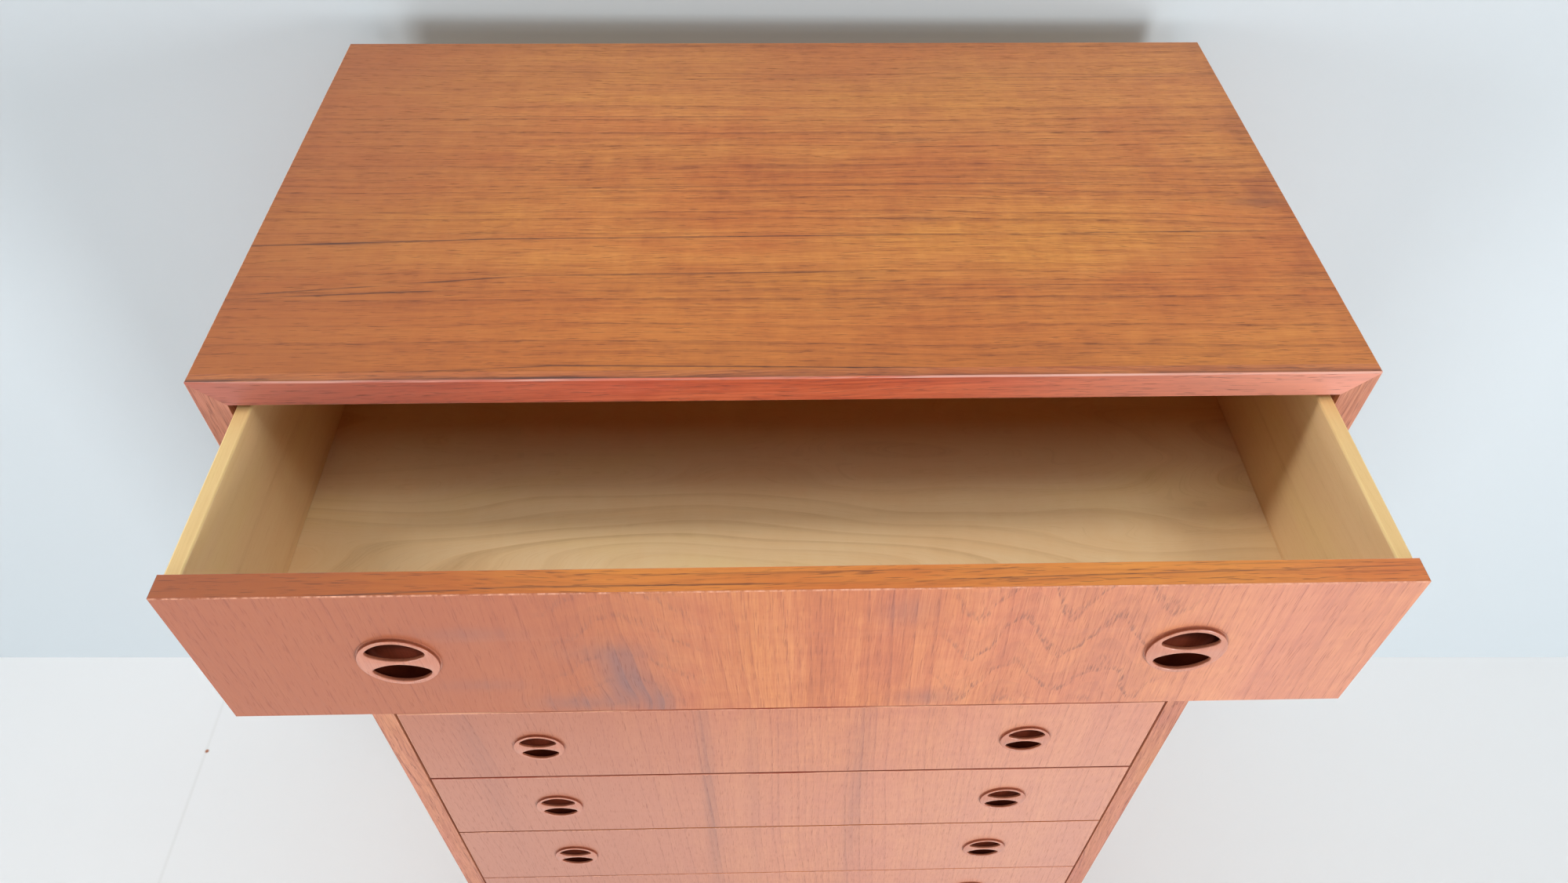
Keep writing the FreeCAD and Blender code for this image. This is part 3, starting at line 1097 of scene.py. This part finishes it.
@dataclass
class Joinery:
    """Makes the visible pieces from the frame's nodes.

    The arris width is the widest face that counts as an arris, which takes a rubbed colour
    with a painted highlight, and weld how near two corners are one, both in metres. Triangles
    up to the flat angle are one face, edges from the crisp angle show as sharp, and those from
    bevel_from on are bevelled.
    """

    finishes: Finishes
    arris_width: float = 1.6 * MILLIMETRE
    weld: float = 1e-6
    flat: float = math.radians(0.5)
    crisp: float = math.radians(32)
    bevel_from: float = math.radians(30)
    bevel_steps: int = 2

    def placed(self, mesh: Mesh, name: str, node: str, body: str, finish: Wood) -> Piece:
        """Puts a mesh into the scene in place of a node.

        Args:
            mesh: The mesh, in the frame's place.
            name: The new piece's name.
            node: The frame's node that it stands for.
            body: The body that it moves with.
            finish: Its finish.

        Returns:
            The new piece.
        """
        mesh.name = name
        mesh.materials.append(self.finishes.material(finish))
        piece = bpy.data.objects.new(name, mesh)
        bpy.context.scene.collection.objects.link(piece)
        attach(piece, body)
        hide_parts(node)
        log.info("piece %s rides on %s", name, body)
        return piece

    def opened(self, node: str) -> Work:
        """Opens a copy of a node's mesh for editing, with its flat triangles joined.

        Args:
            node: The frame's node.

        Returns:
            The mesh to edit.
        """
        work = bmesh.new()
        work.from_mesh(frame["nodes"][node].data)
        bmesh.ops.remove_doubles(work, verts=work.verts, dist=self.weld)
        parts = {"verts": work.verts, "edges": work.edges}
        bmesh.ops.dissolve_limit(work, angle_limit=self.flat, **parts)
        return work

    def closed(self, work: Work) -> Mesh:
        """Turns an edited mesh into a smooth one, with its narrow faces marked as arrises.

        Args:
            work: The edited mesh, which is freed.

        Returns:
            The smooth mesh.
        """
        bmesh.ops.recalc_face_normals(work, faces=work.faces)
        layer = work.faces.layers.float.new("arris")
        for face in work.faces:
            longest = max(edge.calc_length() for edge in face.edges)
            face[layer] = 1.0 if face.calc_area() < self.arris_width * longest else 0.0
        return smooth_mesh(work, "board", self.crisp)

    def eased(self, node: str, name: str, body: str, finish: Wood, cuts: Cuts) -> Piece:
        """Makes a board from a node, with chosen edges rounded.

        Args:
            node: The frame's node.
            name: The new piece's name.
            body: The body that it moves with.
            finish: Its finish.
            cuts: For each rounding, the easing, the box whose edges it follows, and the edges.

        Returns:
            The board.
        """
        work = self.opened(node)
        for easing, box, pairs in cuts:
            easing.cut(work, box, pairs)
        piece = self.placed(self.closed(work), name, node, body, finish)
        piece.modifiers.new("even_normals", "WEIGHTED_NORMAL").keep_sharp = True
        return piece

    def bevelled(self, node: str, name: str, body: str, finish: Wood, width: float) -> Piece:
        """Makes a piece from a node, with all its sharp edges bevelled.

        Args:
            node: The frame's node.
            name: The new piece's name.
            body: The body that it moves with.
            finish: Its finish.
            width: The bevel's width, in metres.

        Returns:
            The piece.
        """
        piece = self.placed(self.closed(self.opened(node)), name, node, body, finish)
        bevel = piece.modifiers.new("eased_edges", "BEVEL")
        bevel.width = width
        bevel.segments = self.bevel_steps
        bevel.limit_method = "ANGLE"
        bevel.angle_limit = self.bevel_from
        piece.modifiers.new("even_normals", "WEIGHTED_NORMAL").keep_sharp = True
        return piece

    def paint_side(self, piece: Piece, side: Side, finish: Wood, nearness: float = FLAT) -> None:
        """Gives the faces that look towards one side a finish of their own.

        Args:
            piece: The piece.
            side: The side its faces look towards.
            finish: Their finish.
            nearness: The least cosine between a face's normal and that side.
        """
        piece.data.materials.append(self.finishes.material(finish))
        outward = Vector(side.value)
        for face in piece.data.polygons:
            if face.normal.dot(outward) > nearness:
                face.material_index = len(piece.data.materials) - 1


@dataclass
class Case:
    """The mitred case: four veneered panels, their lippings, the back and the runners.

    The panels and lippings have rounded outer and inner arrises, the plywood and the runners
    bevels in metres.
    """

    joinery: Joinery
    arris: Easing = Easing(0.9 * MILLIMETRE)
    inner_arris: Easing = Easing(0.4 * MILLIMETRE)
    ply_arris: float = 0.4 * MILLIMETRE
    runner_arris: float = 0.5 * MILLIMETRE

    @staticmethod
    def outside() -> Box:
        """Works out the box that the case fills, lippings included.

        Returns:
            Its lowest and highest corner.
        """
        low = Vector(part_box("side_panel_left")[0])
        low.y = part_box("lipping_left")[0][1]
        return low, Vector(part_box("side_panel_right")[1])

    def build(self) -> None:
        """Builds every piece of the case."""
        finishes, outside = self.joinery.finishes, self.outside()
        panels = {
            "top_panel": ("top", finishes.top, (Side.BACK, Side.ABOVE)),
            "bottom_panel": ("bottom", finishes.floor_board, (Side.BACK, Side.BELOW)),
            "side_panel_left": ("left_side", finishes.side, (Side.BACK, Side.LEFT)),
            "side_panel_right": ("right_side", finishes.side, (Side.BACK, Side.RIGHT)),
        }
        for node, (name, finish, rear) in panels.items():
            self.joinery.eased(node, name, "case", finish, [(self.arris, outside, [*ENDS, rear])])
        lippings = {
            "lipping_top": (Side.ABOVE, Side.BELOW, finishes.lipping_level),
            "lipping_bottom": (Side.BELOW, Side.ABOVE, finishes.lipping_level),
            "lipping_left": (Side.LEFT, Side.RIGHT, finishes.lipping_upright),
            "lipping_right": (Side.RIGHT, Side.LEFT, finishes.lipping_upright),
        }
        for node, (outer, inner, finish) in lippings.items():
            cuts = [
                (self.arris, outside, [*ENDS, (Side.FRONT, outer)]),
                (self.inner_arris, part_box(node), [(Side.FRONT, inner)]),
            ]
            piece = self.joinery.eased(node, node + "_eased", "case", finish, cuts)
            if outer is Side.ABOVE:
                self.joinery.paint_side(piece, outer, finishes.lipping_strip)
        hidden = (
            ("back_panel", "back_board", finishes.back, self.ply_arris),
            ("runners_left", "runner_set_left", finishes.runner, self.runner_arris),
            ("runners_right", "runner_set_right", finishes.runner, self.runner_arris),
        )
        for node, name, finish, width in hidden:
            self.joinery.bevelled(node, name, "case", finish, width)
        log.info("case built")


@dataclass
class Base:
    """The low frame: legs, rails and corner blocks, with the width of their bevels in metres."""

    joinery: Joinery
    leg_arris: float = 0.8 * MILLIMETRE
    rail_arris: float = 0.6 * MILLIMETRE

    def build(self) -> None:
        """Builds every piece of the base."""
        finishes = self.joinery.finishes
        parts = [
            (f"leg_{place}", f"tapered_leg_{place}", finishes.base, self.leg_arris)
            for place in ("front_left", "front_right", "back_left", "back_right")
        ]
        parts += [
            ("base_rails_across", "rails_across", finishes.base_rail, self.rail_arris),
            ("base_rails_along", "rails_along", finishes.base_rail_along, self.rail_arris),
            ("base_corner_blocks", "corner_blocks", finishes.runner, self.rail_arris),
        ]
        for node, name, finish, width in parts:
            self.joinery.bevelled(node, name, "case", finish, width)
        log.info("base built")


@dataclass
class Pull:
    """A turned pull: a ring and a waisted bar in one plate, on a hollow cup.

    Sizes are in millimetres about the middle of the front's face, and become metres when
    the mesh is placed. The plate has a radius, edges rounded by the radius soft, and stands
    proud of the front; the collar is the flush cup's radius, and depth is how far it goes in.
    The bar crosses a round mouth, narrow at its waist and wide at its root, between slots
    with round tips. The steps say how many straight pieces stand for each arc, weld how near
    two corners are one, and crisp from which angle an edge is sharp.
    """

    radius: float = 24.0
    collar: float = 24.65
    proud: float = 2.7
    plate: float = 2.7
    depth: float = 12.4
    mouth: float = 20.8
    bar_waist: float = 3.6
    bar_root: float = 18.0
    tip: float = 4.2
    soft: float = 0.7
    cup_wall: float = 2.0
    cup_floor: float = 2.0
    cove: float = 3.0
    steps: int = 40
    tip_steps: int = 8
    cove_steps: int = 6
    soft_steps: int = 3
    weld: float = 1e-4
    crisp: float = math.radians(40)

    @staticmethod
    def _arc(centre: tuple, radius: float, start: float, end: float, steps: int) -> Outline:
        """Points along an arc, from a start angle to an end angle."""
        turns = [start + (end - start) * i / steps for i in range(steps + 1)]
        return [(centre[0] + radius * math.cos(a), centre[1] + radius * math.sin(a)) for a in turns]

    def _slot(self, side: int) -> Outline:
        """Draws the slot above or below the bar, with rounded tips.

        Args:
            side: 1 for the slot above the bar, -1 for the one below.

        Returns:
            Its outline.
        """
        chord = math.sqrt(self.mouth**2 - (self.bar_root / 2) ** 2)
        rise = (self.bar_root - self.bar_waist) / 2
        waist = (chord**2 + rise**2) / (2 * rise)
        heart = self.bar_waist / 2 + waist
        tip_y = ((self.mouth - self.tip) ** 2 - (waist - self.tip) ** 2 + heart**2) / (2 * heart)
        tip_x = math.sqrt((self.mouth - self.tip) ** 2 - tip_y**2)
        upper, lower = math.atan2(tip_y, tip_x), math.atan2(tip_y - heart, tip_x)
        arcs = (
            ((0, 0), self.mouth, upper, math.pi - upper, self.steps),
            ((-tip_x, tip_y), self.tip, math.pi - upper, math.pi - lower, self.tip_steps),
            ((0, heart), waist, math.pi - lower, 2 * math.pi + lower, self.steps),
            ((tip_x, tip_y), self.tip, lower, upper, self.tip_steps),
        )
        return [(x, side * z) for arc in arcs for x, z in self._arc(*arc)]

    def _plate(self) -> Mesh:
        """Makes the plate, as a filled curve with softened edges.

        Returns:
            Its mesh.
        """
        curve = bpy.data.curves.new("pull_plate", "CURVE")
        curve.dimensions = "2D"
        curve.fill_mode = "BOTH"
        curve.extrude = self.plate / 2 - self.soft
        curve.bevel_depth = self.soft
        curve.bevel_resolution = self.soft_steps
        curve.offset = -self.soft
        rim = self._arc((0, 0), self.radius, 0, 2 * math.pi, 4 * self.steps)
        for outline in (rim, self._slot(1), self._slot(-1)):
            spline = curve.splines.new("POLY")
            points = outline[:-1]
            spline.points.add(len(points) - 1)
            for point, (x, z) in zip(spline.points, points):
                point.co = (x, z, 0, 1)
            spline.use_cyclic_u = True
        holder = bpy.data.objects.new("pull_plate", curve)
        mesh = bpy.data.meshes.new_from_object(holder)
        bpy.data.objects.remove(holder)
        return mesh

    def _cup(self) -> tuple[Outline, Outline]:
        """Draws the cup's section, from the plate's edge to the middle of its hollow.

        Returns:
            Its outer and its inner line, as radius and depth behind the plate's middle.
        """
        face = self.proud - self.plate / 2
        back = self.depth + face
        floor, inner = back - self.cup_floor, self.radius - self.cup_wall
        cove = self._arc(
            (inner - self.cove, floor - self.cove), self.cove, math.pi / 2, 0, self.cove_steps
        )
        outer = [(self.radius, 0), (self.radius, face), (self.collar, face), (self.collar, back)]
        return [*outer, (0, back)], [(0, floor), *cove, (inner, 0)]

    def mesh(self) -> Mesh:
        """Builds the pull about the middle of the front's face, in metres, facing forward.

        Returns:
            The mesh; its cup has the second material and the plate's edge the third, both darker as
            painted shade.
        """
        plate = self._plate()
        work = bmesh.new()
        work.from_mesh(plate)
        bpy.data.meshes.remove(plate)
        # The outermost faces take the edge's painted shade.
        for face in work.faces:
            outermost = face.calc_center_median().xy.length > self.radius - self.soft / 4
            face.material_index = (PullPart.EDGE if outermost else PullPart.PLATE).value
        turns = 4 * self.steps
        angles = [2 * math.pi * i / turns for i in range(turns)]
        outer, inner = self._cup()
        rings = []
        for radius, depth in outer + inner:
            spots = [(radius * math.cos(a), radius * math.sin(a), -depth) for a in angles]
            rings.append([work.verts.new(spot) for spot in spots])
        for index, (first, second) in enumerate(zip(rings, rings[1:])):
            part = PullPart.PLATE if index + 1 < len(outer) else PullPart.CUP
            for i in range(turns):
                j = (i + 1) % turns
                face = work.faces.new((first[i], first[j], second[j], second[i]))
                face.material_index = part.value
        bmesh.ops.remove_doubles(work, verts=work.verts, dist=self.weld)
        middle = self.proud - self.plate / 2
        turn = Matrix.Rotation(math.pi / 2, 4, "X") @ Matrix.Translation((0, 0, middle))
        bmesh.ops.transform(work, matrix=Matrix.Scale(MILLIMETRE, 4) @ turn, verts=work.verts)
        bmesh.ops.recalc_face_normals(work, faces=work.faces)
        return smooth_mesh(work, "turned_pull", self.crisp)


@dataclass
class Drawer:
    """One drawer: front, sides, back, bottom and two pulls.

    Its name is that of its body. The arrises are those of the front's face, of the same where
    the gap is in shadow, of edges that were only broken, of the sides' top edges, and, as a
    bevel in metres, of the bottom.
    """

    name: str
    joinery: Joinery
    pull: Mesh
    edge_tone: EdgeTone
    front_arris: Easing = Easing(0.9 * MILLIMETRE)
    shaded_arris: Easing = Easing(1.5 * MILLIMETRE)
    small_arris: Easing = Easing(0.5 * MILLIMETRE)
    side_arris: Easing = Easing(1.6 * MILLIMETRE, 4)
    ply_arris: float = 0.3 * MILLIMETRE

    @property
    def finishes(self) -> Finishes:
        """The scene's woods and paints."""
        return self.joinery.finishes

    def build(self) -> None:
        """Builds the drawer's pieces."""
        self._front()
        self._sides()
        self._back()
        node = self.name + "_bottom"
        finish = self.finishes.drawer_bottom
        self.joinery.bevelled(node, self.name + "_floor", self.name, finish, self.ply_arris)
        self._pulls()
        log.info("%s built", self.name)

    def _front(self) -> None:
        """The veneered front, with its edges of solid wood."""
        node = self.name + "_front"
        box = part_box(node)
        face = [(Side.FRONT, side) for side in (Side.LEFT, Side.RIGHT, Side.ABOVE, Side.BELOW)]
        rear = [(Side.BACK, side) for side in (Side.LEFT, Side.RIGHT, Side.ABOVE)]
        shaded = self.edge_tone is EdgeTone.SHADED
        front_arris = self.shaded_arris if shaded else self.front_arris
        cuts = [(front_arris, box, face), (self.small_arris, box, rear + ENDS)]
        piece = self.joinery.eased(node, self.name + "_face", self.name, self.finishes.front, cuts)
        # On the shaded drawers the top, bottom and left edges take the gaps' painted shadow; the
        # others keep the plain edge wood.
        finish = getattr(self.finishes, self.edge_tone.value)
        for side in (Side.ABOVE, Side.BELOW):
            self.joinery.paint_side(piece, side, finish, WITH_ARRIS if shaded else FLAT)
        if shaded:
            self.joinery.paint_side(piece, Side.LEFT, finish, WITH_ARRIS)

    def _sides(self) -> None:
        """The two sides, with softly rounded top edges."""
        for side in ("left", "right"):
            node, name = f"{self.name}_side_{side}", f"{self.name}_{side}_wall"
            box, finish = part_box(node), self.finishes.drawer_side
            cuts = [(self.side_arris, box, ENDS[:2]), (self.small_arris, box, ENDS[2:])]
            piece = self.joinery.eased(node, name, self.name, finish, cuts)
            finish = self.finishes.side_top
            self.joinery.paint_side(piece, Side.ABOVE, finish, WITH_MOST_OF_ARRIS)

    def _back(self) -> None:
        """The back of the box."""
        node, name = self.name + "_back", self.name + "_rear_wall"
        top = [(Side.ABOVE, Side.FRONT), (Side.ABOVE, Side.BACK)]
        cuts = [(self.front_arris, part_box(node), top)]
        self.joinery.eased(node, name, self.name, self.finishes.drawer_back, cuts)

    def _pulls(self) -> None:
        """Both pulls, as one piece in place of the frame's node."""
        node, name = self.name + "_pulls", self.name + "_turned_pulls"
        low, high = (Vector(corner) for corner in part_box(node))
        half = (high.z - low.z) / 2
        face_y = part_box(self.name + "_front")[0][1]
        work = bmesh.new()
        for x in (low.x + half, high.x - half):
            part = self.pull.copy()
            part.transform(Matrix.Translation((x, face_y, (low.z + high.z) / 2)))
            work.from_mesh(part)
            bpy.data.meshes.remove(part)
        mesh = self.pull.copy()
        work.to_mesh(mesh)
        work.free()
        piece = self.joinery.placed(mesh, name, node, self.name, self.finishes.pull)
        # The cup's and the plate edge's materials carry painted shade.
        for finish in (self.finishes.cup, self.finishes.pull_edge):
            piece.data.materials.append(self.finishes.material(finish))


@dataclass(frozen=True)
class Window:
    """A large soft pane of daylight, with its middle, what it faces and its size in metres."""

    name: str
    place: Point
    aim: Point
    size: tuple[float, float]
    watts: float

    def build(self) -> None:
        """Places the light."""
        lamp = bpy.data.lights.new(self.name, "AREA")
        lamp.shape = "RECTANGLE"
        lamp.size, lamp.size_y = self.size
        lamp.energy = self.watts
        holder = bpy.data.objects.new(self.name, lamp)
        holder.location = self.place
        towards = Vector(self.aim) - Vector(self.place)
        holder.rotation_euler = towards.to_track_quat("-Z", "Y").to_euler()
        bpy.context.scene.collection.objects.link(holder)


@dataclass
class Room:
    """The pale floor and wall, and the daylight.

    The wall stands by a gap behind the case's back and leans forward for each metre to the
    right, and floor and wall reach so far, in metres. Ambient is the light from all round,
    haze the brightness of what the camera sees beyond the room, and air the colour of both.
    """

    finishes: Finishes
    wall_gap: float = 0.054
    wall_lean: float = 0.0172
    reach: float = 6.0
    ambient: float = 0.01
    haze: float = 0.62
    air: Colour = (0.90, 0.95, 1.0)
    windows: tuple[Window, ...] = (
        Window("window_right", (2.6, -3.4, 1.0), (0, 0, 0.9), (0.9, 1.8), 94),
        Window("window_left", (-2.6, -3.4, 1.0), (0, 0, 0.9), (1.4, 1.8), 66),
        Window("window_ahead", (0, -3.8, 1.8), (0, 0, 0.9), (2.2, 1.6), 44),
        Window("ceiling", (0, -0.95, 3.0), (0, -0.95, 0), (2.4, 1.3), 12),
        Window("ceiling_right", (1.6, -0.4, 3.0), (1.6, -0.4, 0), (0.8, 0.5), 11),
        Window("skylight_left", (-2.0, 0.10, 2.8), (0, 0, 1.0), (0.3, 1.5), 27),
        Window("skylight_right", (2.0, 0.10, 2.8), (0, 0, 1.0), (0.3, 1.5), 8),
        Window("window_behind", (0, 2.8, 1.0), (0, 0.28, 0.8), (2.4, 1.4), 18),
    )

    def build(self) -> None:
        """Builds floor, wall and lights."""
        wall_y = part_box("back_panel")[1][1] + self.wall_gap
        reach, half = self.reach, self.reach / 2
        near, far = wall_y - self.wall_lean * reach, wall_y + self.wall_lean * reach
        left, right = (-reach, far, 0), (reach, near, 0)
        floor = [(-reach, -reach, 0), (reach, -reach, 0), right, left]
        behind = [left, right, (reach, reach, 0), (-reach, reach, 0)]
        wall = [(-reach, far, half), left, right, (reach, near, half)]
        self._plane("floor", floor, self.finishes.floor)
        # The darker floor behind the wall is painted shade, as the wall casts no shadow.
        self._plane("floor_behind_in_shade", behind, self.finishes.floor_behind_in_shade)
        self._plane("wall", wall, self.finishes.wall).visible_shadow = False
        self._sky()
        for window in self.windows:
            window.build()
        log.info("room built, wall at y = %.3f m", wall_y)

    def _sky(self) -> None:
        """Builds the light from all round, brighter where the camera sees it."""
        world = bpy.data.worlds.new("soft_day")
        world.use_nodes = True
        tree = world.node_tree
        background = tree.nodes["Background"]
        background.inputs["Color"].default_value = (*self.air, 1)
        seen = tree.nodes.new("ShaderNodeLightPath").outputs["Is Camera Ray"]
        strength = tree.nodes.new("ShaderNodeMapRange")
        tree.links.new(seen, strength.inputs["Value"])
        strength.inputs["To Min"].default_value = self.ambient
        strength.inputs["To Max"].default_value = self.haze
        tree.links.new(strength.outputs[0], background.inputs["Strength"])
        bpy.context.scene.world = world

    def _plane(self, name: str, corners: list[Point], paint: Paint) -> Piece:
        """Makes one flat face of the room.

        Args:
            name: Its name.
            corners: Its corners in order, in metres.
            paint: Its paint.

        Returns:
            The face.
        """
        mesh = bpy.data.meshes.new(name)
        mesh.from_pydata(corners, [], [tuple(range(len(corners)))])
        mesh.materials.append(self.finishes.material(paint))
        plane = bpy.data.objects.new(name, mesh)
        bpy.context.scene.collection.objects.link(plane)
        return plane


@dataclass
class PhotoCamera:
    """The camera that took the photograph, found from about sixty points of it.

    Its eye is counted from the middle of the top's front edge, in metres. Yaw to the right,
    pitch up and roll are in degrees, the focal length in pixels of the photograph, and the
    sensor's width in millimetres. It sees from nearest on, in metres.
    """

    eye: Point = (-0.0205, -0.4794, 0.4738)
    yaw: float = 1.9945
    pitch: float = -48.0246
    roll: float = 0.8785
    focal: float = 1375.84
    sensor: float = 36.0
    nearest: float = 0.01

    def build(self) -> None:
        """Places the camera and makes it the scene's."""
        yaw, pitch, roll = (math.radians(angle) for angle in (self.yaw, self.pitch, self.roll))
        level_x, level_y = math.sin(yaw), math.cos(yaw)
        reach = math.cos(pitch)
        ahead = Vector((level_x * reach, level_y * reach, math.sin(pitch)))
        level = Vector((level_y, -level_x, 0))
        up = level.cross(ahead)
        right = level * math.cos(roll) + up * math.sin(roll)
        above = up * math.cos(roll) - level * math.sin(roll)
        low, high = (Vector(corner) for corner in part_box("lipping_top"))
        edge = Vector(((low.x + high.x) / 2, low.y, high.z))
        place = edge + Vector(self.eye)
        data = bpy.data.cameras.new("photo_camera")
        data.sensor_width = self.sensor
        data.lens = self.focal / PHOTO_WIDTH * self.sensor
        data.clip_start = self.nearest
        holder = bpy.data.objects.new("photo_camera", data)
        turn = Matrix((right, above, -ahead)).transposed().to_4x4()
        holder.matrix_world = Matrix.Translation(place) @ turn
        bpy.context.scene.collection.objects.link(holder)
        bpy.context.scene.camera = holder
        log.info("camera at (%.3f, %.3f, %.3f) m", *place)


def main() -> None:
    """Builds the whole scene in order."""
    logging.basicConfig(level=logging.INFO, format="%(message)s")
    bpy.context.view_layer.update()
    bpy.context.scene.view_settings.view_transform = "Standard"
    finishes = Finishes()
    joinery = Joinery(finishes)
    Case(joinery).build()
    Base(joinery).build()
    pull = Pull().mesh()
    for index in range(1, DRAWER_COUNT + 1):
        tone = EdgeTone.SHADED if index in SHADED_DRAWERS else EdgeTone.OPEN
        Drawer(f"drawer_{index}", joinery, pull, tone).build()
    Room(finishes).build()
    PhotoCamera().build()


if __name__ == "__main__":
    main()
